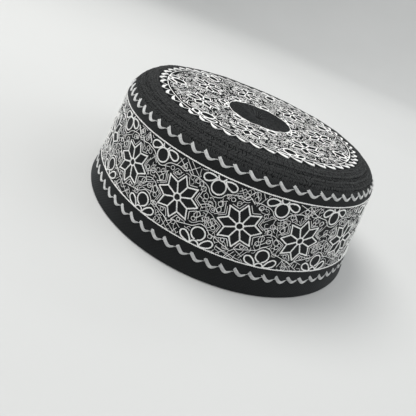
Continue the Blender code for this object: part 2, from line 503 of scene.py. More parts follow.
def thread_material(name, low, high, roughness=(0.42, 0.62), strand=0.16, sheen=0.15, specular=0.5):
    """Twisted thread: fine strands along each stitch, with painted shade in the grooves between them."""
    material, tree, shader = fresh(name)
    links = tree.links
    uv = node(tree, "ShaderNodeUVMap", uv_map="Chart")
    split = node(tree, "ShaderNodeSeparateXYZ")
    links.new(uv.outputs["UV"], split.inputs["Vector"])
    # strands run along the stitch and lean over it as the ply turns
    lean = node(tree, "ShaderNodeMath", operation="MULTIPLY_ADD")
    links.new(split.outputs["X"], lean.inputs[0])
    lean.inputs[1].default_value = 0.42
    links.new(split.outputs["Y"], lean.inputs[2])
    turn = node(tree, "ShaderNodeMath", operation="MULTIPLY")
    links.new(lean.outputs["Value"], turn.inputs[0])
    turn.inputs[1].default_value = 2 * math.pi / (strand * MM)
    wave = node(tree, "ShaderNodeMath", operation="SINE")
    links.new(turn.outputs["Value"], wave.inputs[0])
    half = node(tree, "ShaderNodeMath", operation="MULTIPLY_ADD")
    links.new(wave.outputs["Value"], half.inputs[0])
    half.inputs[1].default_value = 0.5
    half.inputs[2].default_value = 0.5
    spot = node(tree, "ShaderNodeTexCoord")
    fuzz = node(tree, "ShaderNodeTexNoise", Scale=2600.0, Detail=3.0, Roughness=0.65)
    links.new(spot.outputs["Object"], fuzz.inputs["Vector"])
    cloud = node(tree, "ShaderNodeTexNoise", Scale=420.0, Detail=3.0, Roughness=0.6)
    links.new(spot.outputs["Object"], cloud.inputs["Vector"])
    height = node(tree, "ShaderNodeMath", operation="MULTIPLY_ADD")
    links.new(fuzz.outputs["Fac"], height.inputs[0])
    height.inputs[1].default_value = 0.7
    links.new(half.outputs["Value"], height.inputs[2])
    raised = node(tree, "ShaderNodeBump")
    raised.inputs["Strength"].default_value = 0.55
    raised.inputs["Distance"].default_value = 0.00006
    links.new(height.outputs["Value"], raised.inputs["Height"])
    links.new(raised.outputs["Normal"], shader.inputs["Normal"])
    # The colour is darker in the grooves between strands, where the bump is low: painted shade; the cloud noise adds
    # random tone.
    tone = node(tree, "ShaderNodeMath", operation="MULTIPLY_ADD")
    links.new(half.outputs["Value"], tone.inputs[0])
    tone.inputs[1].default_value = 0.30
    links.new(cloud.outputs["Fac"], tone.inputs[2])
    ramp = mixed(tree, tone.outputs["Value"], low, high)
    ramp.color_ramp.elements[0].position = 0.30
    ramp.color_ramp.elements[1].position = 0.80
    links.new(ramp.outputs["Color"], shader.inputs["Base Color"])
    rough = node(tree, "ShaderNodeMapRange")
    rough.inputs["To Min"].default_value = roughness[0]
    rough.inputs["To Max"].default_value = roughness[1]
    links.new(cloud.outputs["Fac"], rough.inputs["Value"])
    links.new(rough.outputs["Result"], shader.inputs["Roughness"])
    shader.inputs["Specular IOR Level"].default_value = specular
    shader.inputs["Sheen Weight"].default_value = sheen
    shader.inputs["Sheen Roughness"].default_value = 0.4
    return material


band_cloth = cloth_material("black_band_cloth", (0.0045, 0.005, 0.0055), (0.013, 0.0145, 0.015))
# The crown cloth's darker colour is painted shade, standing for the shade in the gaps between the crown's close-laid
# threads.
crown_cloth = cloth_material("black_crown_cloth", (0.0025, 0.0028, 0.003), (0.009, 0.010, 0.0105), bump=0.3, sheen=0.01,
                             specular=0.06)
black_thread = thread_material("black_thread", (0.006, 0.0066, 0.007), (0.021, 0.0226, 0.023),
                               roughness=(0.55, 0.75), strand=0.2, sheen=0.04, specular=0.22)
disc_thread = thread_material("black_disc_thread", (0.005, 0.0055, 0.006), (0.030, 0.032, 0.033),
                              roughness=(0.6, 0.8), strand=0.2, sheen=0.02, specular=0.14)
white_thread = thread_material("white_thread", (0.66, 0.66, 0.65), (0.94, 0.94, 0.925), sheen=0.08)
fine_thread = thread_material("fine_white_thread", (0.66, 0.66, 0.65), (0.94, 0.94, 0.925), strand=0.14, sheen=0.05)
satin_thread = thread_material("satin_white_thread", (0.32, 0.325, 0.325), (0.66, 0.665, 0.66),
                               roughness=(0.32, 0.48), strand=0.22, sheen=0.05)


# ----------------------------------------------------------------- cloth shells
def shell(name, section, segments, material, closed):
    """Turn a section of (s, height) rows about the axis into one closed shell.

    A row may also be given as ("at", radius, z), for places off the outer line."""
    a = np.linspace(0, 2 * math.pi, segments, endpoint=False)
    rows, uvs = [], []
    run, last = 0.0, None
    for item in section:
        if item[0] == "at":
            p = np.stack([item[1] * np.cos(a), item[1] * np.sin(a), np.full_like(a, item[2])], -1)
        else:
            p = on_cap(a, item[0], item[1])
        if last is not None:
            run += np.linalg.norm(p[0] - last)
        last = p[0]
        rows.append(p)
        uvs.append(run)
    verts = np.concatenate(rows)
    n, m = len(rows), segments
    i = np.arange(m)
    j = (i + 1) % m
    quads = []
    pairs = [(r, r + 1) for r in range(n - 1)] + ([(n - 1, 0)] if closed else [])
    for r, q in pairs:
        quads.append(np.stack([r * m + i, r * m + j, q * m + j, q * m + i], -1))
    quads = np.concatenate(quads)
    uv = np.stack([np.tile(a * 84.0, n), np.repeat(uvs, m)], 1)
    tris = np.zeros((0, 3), int)
    if closed:
        # the chart runs once round, and on past the start in the last column
        quad_uv = uv[quads].copy()
        last = np.tile(i == m - 1, len(pairs))
        quad_uv[last, 1, 0] += 2 * math.pi * 84.0
        quad_uv[last, 2, 0] += 2 * math.pi * 84.0
        back = np.repeat([q < r for r, q in pairs], m)
        quad_uv[back, 2:, 1] = run
        return make_mesh(name, verts * MM, quads, tris, uv * MM, material,
                         (quad_uv * MM, np.zeros((0, 3, 2))))
    top, under = on_cap(0.0, 0.0, 0.0), on_cap(0.0, 0.0, -CROWN_THICKNESS)
    verts = np.vstack([verts, top, under])
    t, u = len(verts) - 2, len(verts) - 1
    tris = np.concatenate([
        np.stack([j, i, np.full(m, t)], -1),
        np.stack([(n - 1) * m + i, (n - 1) * m + j, np.full(m, u)], -1)])
    return make_mesh(name, verts * MM, quads, tris, verts[:, :2] * MM, material)


def side_band():
    """The stiffened wall: folded over at the rim, its top edge turned to the seam."""
    top = S_SEAM + SEAM_GAP / 2
    rows = [(top, -BAND_THICKNESS * 0.55), (top, -0.35), (top + 0.35, 0.0)]
    rows += [(s, 0.0) for s in np.linspace(top + 1.5, S_RIM - 1.6, 38)]
    # the rim is the cloth's fold: round outside and in, flat where it stands
    r, z = 91.2, 0.0
    rows += [("at", 91.02, 1.0), ("at", 90.85, 0.42), ("at", 90.5, 0.08), ("at", 90.1, 0.0),
             ("at", 89.7, 0.0), ("at", 89.3, 0.10), ("at", 89.0, 0.45), ("at", 88.82, 1.1)]
    rows += [(s, -BAND_THICKNESS) for s in np.linspace(S_RIM - 1.9, top + 0.8, 20)]
    rows += [(top + 0.25, -BAND_THICKNESS * 0.9)]
    return shell("band_cloth", rows, 288, band_cloth, True)


ROWS_START, ROWS_END, ROWS_COUNT = 66.75, 79.25, 9
ROW_PITCH = (ROWS_END - ROWS_START) / (ROWS_COUNT - 1)
GROOVE = ROWS_START + 4 * ROW_PITCH


def crown():
    """Top cloth: over the crown and shoulder to the seam, then in behind the band."""
    edge = S_SEAM - SEAM_GAP / 2
    tuck = BAND_THICKNESS + SEAM_GAP
    full = tuck + 1.0
    rows = [(s, 0.0) for s in np.linspace(1.5, 20.0, 14)]
    rows += [(s, 0.0) for s in np.linspace(21.5, 60.5, 24)]
    rows += [(s, 0.0) for s in (62.0, 63.5, 65.0, 65.9)]
    # the stitched rows draw the cloth in a little, most along one line
    for s in np.arange(ROWS_START - ROW_PITCH / 2, ROWS_END + ROW_PITCH / 2 + 0.01, ROW_PITCH / 4):
        phase = (s - ROWS_START) / ROW_PITCH * 2 * math.pi
        groove = math.exp(-((s - GROOVE) / 0.9) ** 2)
        rows.append((s, -0.08 + 0.03 * math.cos(phase) - 0.22 * groove))
    rows = [q for q in rows if q[0] < edge - 0.5]
    rows += [(edge - 0.4, 0.0), (edge - 0.08, -0.12), (edge, -0.5), (edge, -1.4), (edge, -tuck)]
    rows += [(s, -tuck) for s in (edge + 2.0, edge + 4.5, edge + 6.6)]
    rows += [(edge + 7.0, -tuck - 0.5)]
    rows += [(s, -full) for s in (edge + 6.6, edge + 4.5, edge + 2.0, edge)]
    rows += [(s, -CROWN_THICKNESS) for s in np.linspace(edge - 6.0, 3.0, 26)]
    return shell("crown_cloth", rows, 288, crown_cloth, False)


pieces = []
band = side_band()
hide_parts("side_band")
top = crown()
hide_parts("crown")
pieces += [band, top]


# --------------------------------------------------------------- the wall chart
# One repeat: star at x = 0, half-flowers at x = +-16.55 on both border lines.
STAR = dict(y=19.2, tip=11.35, notch=7.3, ring=1.85)
LOW_FLOWER = dict(petal_y=6.1, petal=3.4, bud=2.1, side=(
    (2.6, 0.1), (2.9, 1.8), (4.3, 3.7), (6.3, 4.9), (8.0, 4.4), (8.4, 3.0), (7.4, 1.4), (5.2, 0.4)))
HIGH_FLOWER = dict(petal_y=5.3, petal=3.5, bud=2.0, side=(
    (2.4, 1.5), (4.4, 0.8), (6.8, 0.9), (8.5, 2.1), (8.5, 3.8), (7.0, 4.7), (5.0, 4.1), (3.3, 2.9)))


def arc(x, y, r, start=0.0, end=360.0, step=0.35):
    a = np.radians(np.arange(start, end + 1e-6, math.degrees(step / r)))
    return np.stack([x + r * np.cos(a), y + r * np.sin(a)], 1)


def star_lines(scale=1.0):
    """Outline, spokes and centre ring of an eight-petalled star about (0, 0)."""
    outline = []
    for k in range(8):
        a, b = math.radians(45 * k - 90), math.radians(45 * k - 67.5)
        outline.append((STAR["tip"] * math.cos(a), STAR["tip"] * math.sin(a)))
        outline.append((STAR["notch"] * math.cos(b), STAR["notch"] * math.sin(b)))
    spokes = []
    for k in range(8):
        b = math.radians(45 * k - 67.5)
        d = np.array([math.cos(b), math.sin(b)])
        spokes.append(np.array([d * (STAR["ring"] + 0.1), d * (STAR["notch"] - 0.3)]) * scale)
    ring = arc(0, 0, STAR["ring"], 0, 359, 0.4)
    return np.array(outline) * scale, spokes, ring * scale


def flower_lines(f, up=1.0, scale=1.0):
    """A half-flower standing on y = 0 and growing toward -y (up = 1) or +y (-1)."""
    lines = [arc(0, -f["petal_y"], f["petal"], 101, 439), arc(0, 0, f["bud"], 182, 358)]
    for side in (-1, 1):
        lines.append(curved([(side * x, -y) for x, y in f["side"]], 0.35, closed=True))
    return [q * (scale, scale * up) for q in lines], [False, False, True, True]


def echo_lines(scale, distance, skip=(), beyond=0.0):
    """Thin V lines that repeat the star's edge outside each of its eight notches."""
    out = []
    tip, notch = STAR["tip"] * scale, STAR["notch"] * scale
    for k in range(8):
        if k in skip:
            continue
        a, b, c = (math.radians(45 * k + q - 90) for q in (0, 22.5, 45))
        p = np.array([[tip * math.cos(a), tip * math.sin(a)],
                      [notch * math.cos(b), notch * math.sin(b)],
                      [tip * math.cos(c), tip * math.sin(c)]])
        out.append(offset_corner(p, distance, beyond))
    return out


def offset_corner(p, distance, beyond):
    """Offset a three-point corner outward (away from the origin) by distance."""
    d0, d1 = p[0] - p[1], p[2] - p[1]
    l0, l1 = np.linalg.norm(d0), np.linalg.norm(d1)
    d0, d1 = d0 / l0, d1 / l1
    bis = (d0 + d1)
    bis = bis / np.linalg.norm(bis)
    half = math.acos(np.clip((d0 * bis).sum(), -1, 1))
    corner = p[1] + bis * distance / math.sin(half)
    cut = distance / math.tan(half)
    return np.array([corner + d0 * (l0 - cut + beyond), corner, corner + d1 * (l1 - cut + beyond)])


def put(lines, x=0.0, y=0.0, turn=0.0):
    """Lines turned by `turn` radians and moved to (x, y)."""
    c, q = math.cos(turn), math.sin(turn)
    m = np.array([[c, q], [-q, c]])
    return [np.asarray(l) @ m + (x, y) for l in lines]


# ------------------------------------------------------- clearance and coverage
class Ground:
    """A map of how far each spot of a chart is from the motifs."""

    STEP = 0.25
    REACH = 10

    def __init__(self, x0, y0, x1, y1, wrap=False):
        self.x0, self.y0, self.wrap = x0, y0, wrap
        self.nx, self.ny = int(round((x1 - x0) / self.STEP)), int(round((y1 - y0) / self.STEP))
        self.d = np.full((self.ny, self.nx), 9.0)

    def keep_off(self, line, closed=False, extra=0.0):
        p = resampled(line, 0.25, closed)
        g = (p - (self.x0, self.y0)) / self.STEP
        base = np.floor(g).astype(int)
        k = np.arange(-self.REACH, self.REACH + 1)
        ox, oy = np.meshgrid(k, k)
        ix = base[:, 0, None] + ox.ravel()
        iy = base[:, 1, None] + oy.ravel()
        dist = np.hypot(ix + 0.5 - g[:, 0, None], iy + 0.5 - g[:, 1, None]) * self.STEP - extra
        if self.wrap:
            ix = ix % self.nx
        ok = (ix >= 0) & (ix < self.nx) & (iy >= 0) & (iy < self.ny)
        np.minimum.at(self.d, (iy[ok], ix[ok]), dist[ok])

    def shut(self, line):
        """Nothing goes inside this closed line."""
        p = np.asarray(line)
        lo, hi = p.min(0), p.max(0)
        i0, i1 = (int((v - self.x0) / self.STEP) for v in (lo[0], hi[0] + self.STEP))
        j0, j1 = (int((v - self.y0) / self.STEP) for v in (lo[1], hi[1] + self.STEP))
        i, j = np.meshgrid(np.arange(i0, i1 + 1), np.arange(max(j0, 0), min(j1 + 1, self.ny)))
        x, y = self.x0 + (i + 0.5) * self.STEP, self.y0 + (j + 0.5) * self.STEP
        inside = np.zeros(x.shape, bool)
        for (ax, ay), (bx, by) in zip(p, np.roll(p, -1, 0)):
            if ay != by:
                hit = ((ay > y) != (by > y)) & (x < (bx - ax) * (y - ay) / (by - ay) + ax)
                inside ^= hit
        i = i % self.nx if self.wrap else np.clip(i, 0, self.nx - 1)
        self.d[j[inside], i[inside]] = -1.0

    def block(self, line, distance, closed=False):
        """Nothing goes within this distance of the line."""
        p = resampled(line, 0.25, closed)
        g = (p - (self.x0, self.y0)) / self.STEP
        base = np.floor(g).astype(int)
        reach = int(distance / self.STEP) + 1
        k = np.arange(-reach, reach + 1)
        ox, oy = np.meshgrid(k, k)
        ix = base[:, 0, None] + ox.ravel()
        iy = base[:, 1, None] + oy.ravel()
        near = np.hypot(ix + 0.5 - g[:, 0, None], iy + 0.5 - g[:, 1, None]) * self.STEP < distance
        if self.wrap:
            ix = ix % self.nx
        near &= (ix >= 0) & (ix < self.nx) & (iy >= 0) & (iy < self.ny)
        self.d[iy[near], ix[near]] = -1.0

    def clear(self, x, y):
        i, j = int((x - self.x0) // self.STEP), int((y - self.y0) // self.STEP)
        if self.wrap:
            i %= self.nx
        if not (0 <= i < self.nx and 0 <= j < self.ny):
            return -1.0
        return self.d[j, i]


class Tangle:
    """Wandering thread that crosses itself but turns away from lines it would run beside."""

    CELL = 0.5
    STEP = 0.42
    NEAR = ((0, 0, 1.0), (0, 1, 0.8), (0, -1, 0.8), (1, 0, 0.8), (-1, 0, 0.8), (1, 1, 0.6), (1, -1, 0.6),
            (-1, 1, 0.6), (-1, -1, 0.6), (0, 2, 0.35), (0, -2, 0.35), (2, 0, 0.35), (-2, 0, 0.35))

    def __init__(self, ground, rng, allowed):
        self.g, self.rng = ground, rng
        self.ok = allowed.tolist()
        k = int(self.CELL / ground.STEP)
        self.nx, self.ny = ground.nx // k + 1, ground.ny // k + 1
        # one map of laid thread for each of four directions
        self.cover = [[[0.0] * (self.nx + 4) for _ in range(self.ny + 4)] for _ in range(4)]
        jj, ii = np.nonzero(allowed)
        self.spots = np.stack([ground.x0 + (ii + 0.5) * ground.STEP,
                               ground.y0 + (jj + 0.5) * ground.STEP], 1).tolist()

    def allowed(self, x, y):
        g = self.g
        i, j = int((x - g.x0) // g.STEP), int((y - g.y0) // g.STEP)
        if g.wrap:
            i %= g.nx
        return 0 <= i < g.nx and 0 <= j < g.ny and self.ok[j][i]

    def spot(self, x, y):
        i, j = int((x - self.g.x0) // self.CELL), int((y - self.g.y0) // self.CELL)
        if self.g.wrap:
            i %= self.nx - 1
        return min(max(j, 0), self.ny - 1) + 2, min(max(i, 0), self.nx - 1) + 2

    def at(self, x, y, heading):
        j, i = self.spot(x, y)
        return self.cover[int(heading / math.pi * 4 + 0.5) % 4][j][i]

    def full(self, x, y):
        j, i = self.spot(x, y)
        return sum(c[j][i] for c in self.cover)

    def mark(self, x, y, heading):
        j, i = self.spot(x, y)
        k = int(heading / math.pi * 4 + 0.5) % 4
        for c, share in ((self.cover[k], 1.0), (self.cover[k - 1], 0.4), (self.cover[(k + 1) % 4], 0.4)):
            for dj, di, weight in self.NEAR:
                c[j + dj][i + di] += weight * share

    def lay(self, line):
        p = resampled(line, self.STEP)
        for (x, y), (dx, dy) in zip(p.tolist(), np.gradient(p, axis=0).tolist()):
            self.mark(x, y, math.atan2(dy, dx))

    def run(self, total, length=(6.0, 14.0), loops=0.05, kinks=0.16):
        rng, step = self.rng, self.STEP
        lines, laid, idle = [], 0.0, 0
        while laid < total and idle < 3000:
            picks = [self.spots[q] for q in rng.integers(0, len(self.spots), 30)]
            x, y = min(picks, key=lambda q: self.full(*q))
            ways = rng.uniform(0, 2 * math.pi, 6).tolist()
            heading = min(ways, key=lambda h: self.at(x + math.cos(h), y + math.sin(h), h))
            goal, bend, coil = rng.uniform(*length), rng.uniform(-0.5, 0.5), 0.0
            line = [(x, y, heading)]
            while step * len(line) < goal:
                if coil > 0:
                    coil -= step
                    turns = (bend,)
                elif rng.random() < loops * step:
                    bend = (1.0 if rng.random() < 0.5 else -1.0) * rng.uniform(0.75, 1.15)
                    coil = 5.6 / abs(bend)
                    turns = (bend,)
                else:
                    if rng.random() < kinks * step:
                        heading += (1.0 if rng.random() < 0.5 else -1.0) * rng.uniform(0.9, 2.2)
                        bend = 0.0
                    turns = [min(max(bend + q, -1.0), 1.0) for q in (-0.6, -0.25, 0.0, 0.25, 0.6)]
                best, move = 1e9, None
                for turn in turns:
                    h = heading + turn * step
                    px, py = x + math.cos(h) * step, y + math.sin(h) * step
                    if not self.allowed(px, py):
                        continue
                    h2 = h + turn * 0.8
                    qx, qy = px + math.cos(h2) * 0.8, py + math.sin(h2) * 0.8
                    cost = (0.6 * self.at(px, py, h) + self.at(qx, qy, h2)
                            + 0.22 * self.full(qx, qy)
                            + (0.0 if self.allowed(qx, qy) else 2.5) + rng.random() * 1.2)
                    if cost < best:
                        best, move = cost, (px, py, h, turn)
                if move is None or (best > 6.0 and coil <= 0 and len(line) > 8):
                    break
                x, y, heading, bend = move
                line.append((x, y, heading))
            if len(line) < 5:
                idle += 1
                continue
            for q in line:
                self.mark(*q)
            laid += step * len(line)
            lines.append(np.array(line)[:, :2])
        return lines


# ------------------------------------------------------------- wall embroidery
UPPER_LINE, LOWER_LINE = -0.6, 37.2
SCALLOP_LOW = ((-16.55, 25.8), (-14.5, 26.3), (-12.9, 27.5), (-11.7, 28.7), (-10.0, 29.0),
               (-8.0, 29.5), (-5.0, 30.8), (-2.6, 31.5), (-0.9, 32.3), (0.0, 32.9), (0.9, 32.2),
               (2.4, 31.0), (5.0, 30.4), (8.0, 29.6), (10.2, 29.1), (12.1, 28.6), (13.6, 27.5),
               (15.0, 26.3), (16.55, 25.8))
SCALLOP_HIGH = ((-16.55, 10.4), (-14.9, 10.1), (-13.3, 9.2), (-12.2, 7.6), (-10.6, 6.5), (-8.6, 5.9),
                (-5.0, 5.3), (-2.2, 5.9), (-0.9, 5.4), (0.0, 4.4), (0.9, 5.3), (2.4, 5.9), (5.0, 5.4),
                (8.6, 5.9), (10.6, 6.4), (12.2, 7.5), (13.3, 9.0), (14.9, 10.1), (16.55, 10.4))
HUMPS = (((1.6, 31.0), (2.3, 29.2), (3.4, 27.4), (5.0, 26.8), (6.4, 27.3), (7.5, 28.3), (8.4, 29.3)),
         ((-1.5, 31.0), (-2.4, 28.9), (-3.8, 27.3), (-5.8, 26.9), (-7.4, 27.8), (-9.0, 29.0)))
FAN = (  # between the stars, about x = 16.55: an arch over a ring and long loops
    ((-4.6, 21.0), (-2.6, 19.3), (0.0, 18.7), (2.6, 19.3), (4.6, 21.0)),
    ((-5.6, 22.4), (-4.4, 20.6), (-2.8, 21.3), (-3.2, 23.2), (-4.9, 24.0), (-5.6, 22.4)),
    ((5.6, 22.4), (4.4, 20.6), (2.8, 21.3), (3.2, 23.2), (4.9, 24.0), (5.6, 22.4)),
    ((-4.6, 16.9), (-2.4, 15.4), (0.0, 14.8), (2.4, 15.4), (4.6, 16.9)),
    ((4.8, 13.2), (3.3, 15.0), (4.1, 16.6), (5.6, 15.3), (4.8, 13.2)),
)

# Patches of crossed straight threads, from a star's middle: x, y, width, height, the
# two directions in degrees and the gap between threads.
HATCHED = (
    (0.3, -16.0, 16.5, 7.0, 38, -58, 3.4),
    (0.0, 15.0, 17.5, 7.0, 27, -60, 2.8),
    (16.2, 4.4, 10.0, 9.0, -24, 82, 4.6),
    (12.4, -8.6, 7.4, 7.4, 36, -50, 4.4),
    (-12.8, -8.0, 7.0, 8.0, 64, -28, 4.4),
)
CURLS = ((-12.1, -6.9, 1.6), (6.2, -11.9, 1.4), (15.6, -4.4, 1.6), (-11.2, 10.3, 1.3), (-2.6, -15.6, 1.3))


def hatched(rng, x, y, wide, high, one, other, gap):
    """Straight threads that cross over a patch, a little unevenly spaced."""
    out = []
    reach = math.hypot(wide, high) / 2
    for way in (one, other):
        a = math.radians(way + rng.normal(0, 6.0))
        d, n = np.array([math.cos(a), math.sin(a)]), np.array([-math.sin(a), math.cos(a)])
        for q in np.arange(-reach, reach, gap):
            middle = n * (q + rng.normal(0, 0.30 * gap))
            tilt = d + n * rng.normal(0, 0.16)
            line = resampled(np.array([middle - tilt * reach, middle + tilt * reach]), 0.45)
            inside = (np.abs(line[:, 0]) < wide / 2) & (np.abs(line[:, 1]) < high / 2)
            for run in runs(line, inside):
                lose = rng.integers(0, 7, 2)
                run = run[lose[0]:len(run) - lose[1]]
                if len(run) > 3:
                    out.append(run + (x, y))
    return out


def curl(rng, x, y, r):
    """A small open spiral of little more than one turn."""
    turns, start = rng.uniform(1.0, 1.4), rng.uniform(0, 2 * math.pi)
    a = np.linspace(0, turns * 2 * math.pi, int(turns * 16))
    q = r * (1 - 0.45 * a / a[-1])
    way = 1.0 if rng.random() < 0.5 else -1.0
    return np.stack([x + q * np.cos(start + way * a), y + q * np.sin(start + way * a)], 1)


MAIN = dict(pitch=0.86, length=1.42, width=0.74, height=0.29, lean=math.radians(-15))
BORDER = dict(pitch=1.02, length=1.5, width=0.58, height=0.36, lean=math.radians(-19))
SECOND_ECHO = (1, 5, 6)          # notches with a second thin line


def runs(line, keep):
    """The stretches of a line where keep is true, three points or longer."""
    out, start = [], None
    for i, ok in enumerate(list(keep) + [False]):
        if ok and start is None:
            start = i
        elif not ok and start is not None:
            if i - start >= 3:
                out.append(line[start:i])
            start = None
    return out


def star_with_echoes(ground, main, style, rng, scale, x, y, turn):
    """One star in rope; its thin echo lines come back to be laid later."""
    outline, spokes, ring = star_lines(scale)
    (edge, heart), legs = put([outline, ring], x, y, turn), put(spokes, x, y, turn)
    main.rope(edge, closed=True, rng=rng, **style)
    main.rope(heart, closed=True, rng=rng, **style)
    for leg in legs:
        main.rope(leg, rng=rng, **style)
    ground.keep_off(edge, True)
    first = put(echo_lines(scale, 1.35, beyond=-0.5), x, y, turn)
    second = put([q for k, q in enumerate(echo_lines(scale, 2.1, beyond=1.2)) if k in SECOND_ECHO], x, y, turn)
    return edge, first, second


def close_round_star(ground, edge, first):
    """Keep the ground bare inside a star and between it and its echo lines."""
    ground.shut(edge)
    for k, line in enumerate(first):
        a, b, c = edge[2 * k], edge[2 * k + 1], edge[(2 * k + 2) % 16]
        ground.shut(np.array([a, line[0], line[1], line[2], c, b]))
        ground.block(line, 0.42)


def thin(fine, rng, line, ground, clearance, width=(0.29, 0.36), height=(0.11, 0.16)):
    """A thin charted thread, a little shaky, broken where it would touch a motif."""
    line = line + np.cumsum(rng.normal(0, 0.022, line.shape), 0)
    keep = [ground.clear(*q) > clearance for q in line]
    out = runs(line, keep)
    for run in out:
        fine.thread(run, rng.uniform(*width), rng.uniform(*height), base=rng.uniform(0, 0.06))
    return out


def wall_embroidery():
    rng = np.random.default_rng(11)
    main, lines, fill = Batch(wall_place), Batch(wall_place), Batch(wall_place)
    span = REPEATS * TILE
    ground = Ground(-TILE / 2, 0.0, span - TILE / 2, LOWER_LINE - 0.2, wrap=True)
    low, low_closed = flower_lines(LOW_FLOWER)
    high, high_closed = flower_lines(HIGH_FLOWER, up=-1.0)
    charted, stars, blooms = [], [], []
    for k in range(REPEATS):
        x = k * TILE
        edge, first, second = star_with_echoes(ground, main, MAIN, rng, 1.0, x, STAR["y"], 0.0)
        stars.append((edge, first))
        charted += [resampled(q, 0.45) for q in first + second]
        for flower, closed, y in ((low, low_closed, LOWER_LINE - 0.2), (high, high_closed, 0.05)):
            for line, c in zip(put(flower, x + TILE / 2, y), closed):
                main.rope(line, closed=c, rng=rng, **MAIN)
                ground.keep_off(line, c)
                blooms.append(line)
        charted += [curved(np.array(q) + (x, 0), 0.4) for q in HUMPS]
        charted += [curved(np.array(q) + (x + TILE / 2, 0), 0.4) for q in FAN]
        charted.append(arc(x + TILE / 2, 22.6, 1.15, 0, 360, 0.4))
        for side in (-1, 1):
            charted.append(arc(x + side * 11.4, 24.9, 1.0, 0, 360, 0.4))
            charted.append(arc(x + side * 4.9, 28.9, 0.9, 0, 360, 0.4))
    for bloom in blooms:
        ground.shut(bloom)
    laid = []
    for line in charted:
        laid += thin(lines, rng, line, ground, 0.95)
    for k in range(REPEATS):
        for table in (SCALLOP_LOW, SCALLOP_HIGH):
            line = curved(np.array(table) + (k * TILE, 0), 0.4)
            line = line + np.cumsum(rng.normal(0, 0.02, line.shape), 0)
            lines.thread(line, 0.40, 0.20, base=0.02)
            laid.append(line)
    for edge, first in stars:
        close_round_star(ground, edge, first)
    for k in range(REPEATS):
        for patch in HATCHED:
            for line in hatched(rng, *patch):
                laid += thin(lines, rng, line + (k * TILE, STAR["y"]), ground, 1.1,
                             width=(0.25, 0.32), height=(0.08, 0.12))
        for x, y, r in CURLS:
            x, y = np.array([x, y]) + rng.normal(0, 0.35, 2)
            line = curl(rng, x + k * TILE, y + STAR["y"], r)
            laid += thin(lines, rng, line, ground, 1.0, width=(0.26, 0.33), height=(0.09, 0.13))
    tangle = Tangle(ground, rng, ground.d > 1.15)
    for line in laid:
        tangle.lay(line)
    for line in tangle.run(WALL_TANGLE, length=(9.0, 22.0), loops=0.06, kinks=0.10):
        fill.thread(line, rng.uniform(0.21, 0.28), rng.uniform(0.09, 0.13), base=rng.uniform(-0.01, 0.04))
    for y in (UPPER_LINE, LOWER_LINE):
        main.rope(np.array([(0.0, y), (span, y)]), rng=rng, **BORDER)
    return main, lines, fill


WALL_TANGLE = 3500.0
main, lines, fill = wall_embroidery()
pieces.append(main.build("wall_motifs", white_thread))
pieces.append(lines.build("wall_thin_lines", fine_thread))
pieces.append(fill.build("wall_ground_threads", fine_thread))


# ------------------------------------------------------------- wavy satin lines
# One tooth: x, y and width of the satin stroke. It starts with a blunt upper left
# end, runs down to the trough and ends in a short hook, and one thin thread links
# the hook with the next tooth.
TOOTH = ((0.42, 0.62, 1.75), (0.95, 1.18, 1.90), (1.90, 2.10, 1.90), (2.80, 2.92, 1.88),
         (3.70, 3.50, 1.78), (4.60, 3.66, 1.50), (5.45, 3.44, 1.15), (6.15, 3.02, 0.90),
         (6.80, 2.62, 0.66))
LINK = ((6.75, 2.64), (7.15, 2.40), (7.60, 2.22), (8.15, 2.10))
# Round the crown each stroke starts thin at the ring, swells outward to a blunt end
# and a thin thread turns back in to the ring.
CREST = ((0.10, 0.35, 0.42), (0.90, 1.20, 0.55), (1.80, 2.15, 0.95), (2.80, 2.95, 1.60),
         (3.90, 3.60, 1.95), (4.80, 4.00, 1.95), (5.60, 4.20, 1.55))
CREST_LINK = ((5.95, 4.05), (6.45, 3.10), (6.95, 1.90), (7.45, 0.65))
TOOTH_PERIOD, TOOTH_HEIGHT = 7.65, 4.45


def wave(name, radius, peak, depth, count, first, fat=1.0, strands=3, material=None, tooth=TOOTH, back=LINK):
    """Teeth round the cap: peak = distance of their upper tips, depth = their height."""
    batch = Batch(ring_place(radius))
    rng = np.random.default_rng(int(radius * 10))
    period = 2 * math.pi * radius / count
    sx, sy = period / TOOTH_PERIOD, depth / TOOTH_HEIGHT
    table = np.array(tooth)
    middle = curved(np.stack([table[:, 0] * sx, table[:, 1] * sy], 1), 0.42)
    reach = np.concatenate([[0], np.cumsum(np.linalg.norm(np.diff(table[:, :2] * (sx, sy), axis=0), axis=1))])
    at = np.concatenate([[0], np.cumsum(np.linalg.norm(np.diff(middle, axis=0), axis=1))])
    width = np.interp(at, reach, table[:, 2]) * fat * (sx + sy) / 2
    link = curved(np.array(back) * (sx, sy), 0.42)
    t = np.gradient(middle, axis=0)
    t /= np.linalg.norm(t, axis=1)[:, None]
    normal = np.stack([-t[:, 1], t[:, 0]], 1)
    for k in range(count):
        start = np.array([first * radius + k * period, peak]) + rng.normal(0, 0.09, 2)
        size = 1 + rng.normal(0, 0.035)
        batch.thread(link * (1.0, size) + start, 0.32, 0.20, sides=4, base=0.0)
        for j in range(strands):
            f = (j - (strands - 1) / 2) / strands
            line = middle * (1.0, size) + normal * (width * f)[:, None] + start
            line = line + rng.normal(0, 0.028, line.shape)
            cut = rng.integers(0, 2)
            line, w = line[cut:], width[cut:]
            batch.thread(line, w / strands * 1.10, 0.30 + 0.16 * w / 2 + rng.normal(0, 0.03),
                         sides=5, base=0.0)
    return batch.build(name, material or satin_thread)


pieces.append(wave("lower_wave", 88.3, S_UPPER + 40.5, 4.45, 72, math.radians(-94.4), fat=0.95))
pieces.append(wave("upper_wave", 79.9, S_UPPER - 8.05, 4.25, 65, math.radians(-93.2), fat=0.86))
pieces.append(wave("crown_edge_wave", 63.2, 61.0, 4.0, 52, math.radians(-91.2), fat=0.98,
                   material=white_thread, tooth=CREST, back=CREST_LINK))


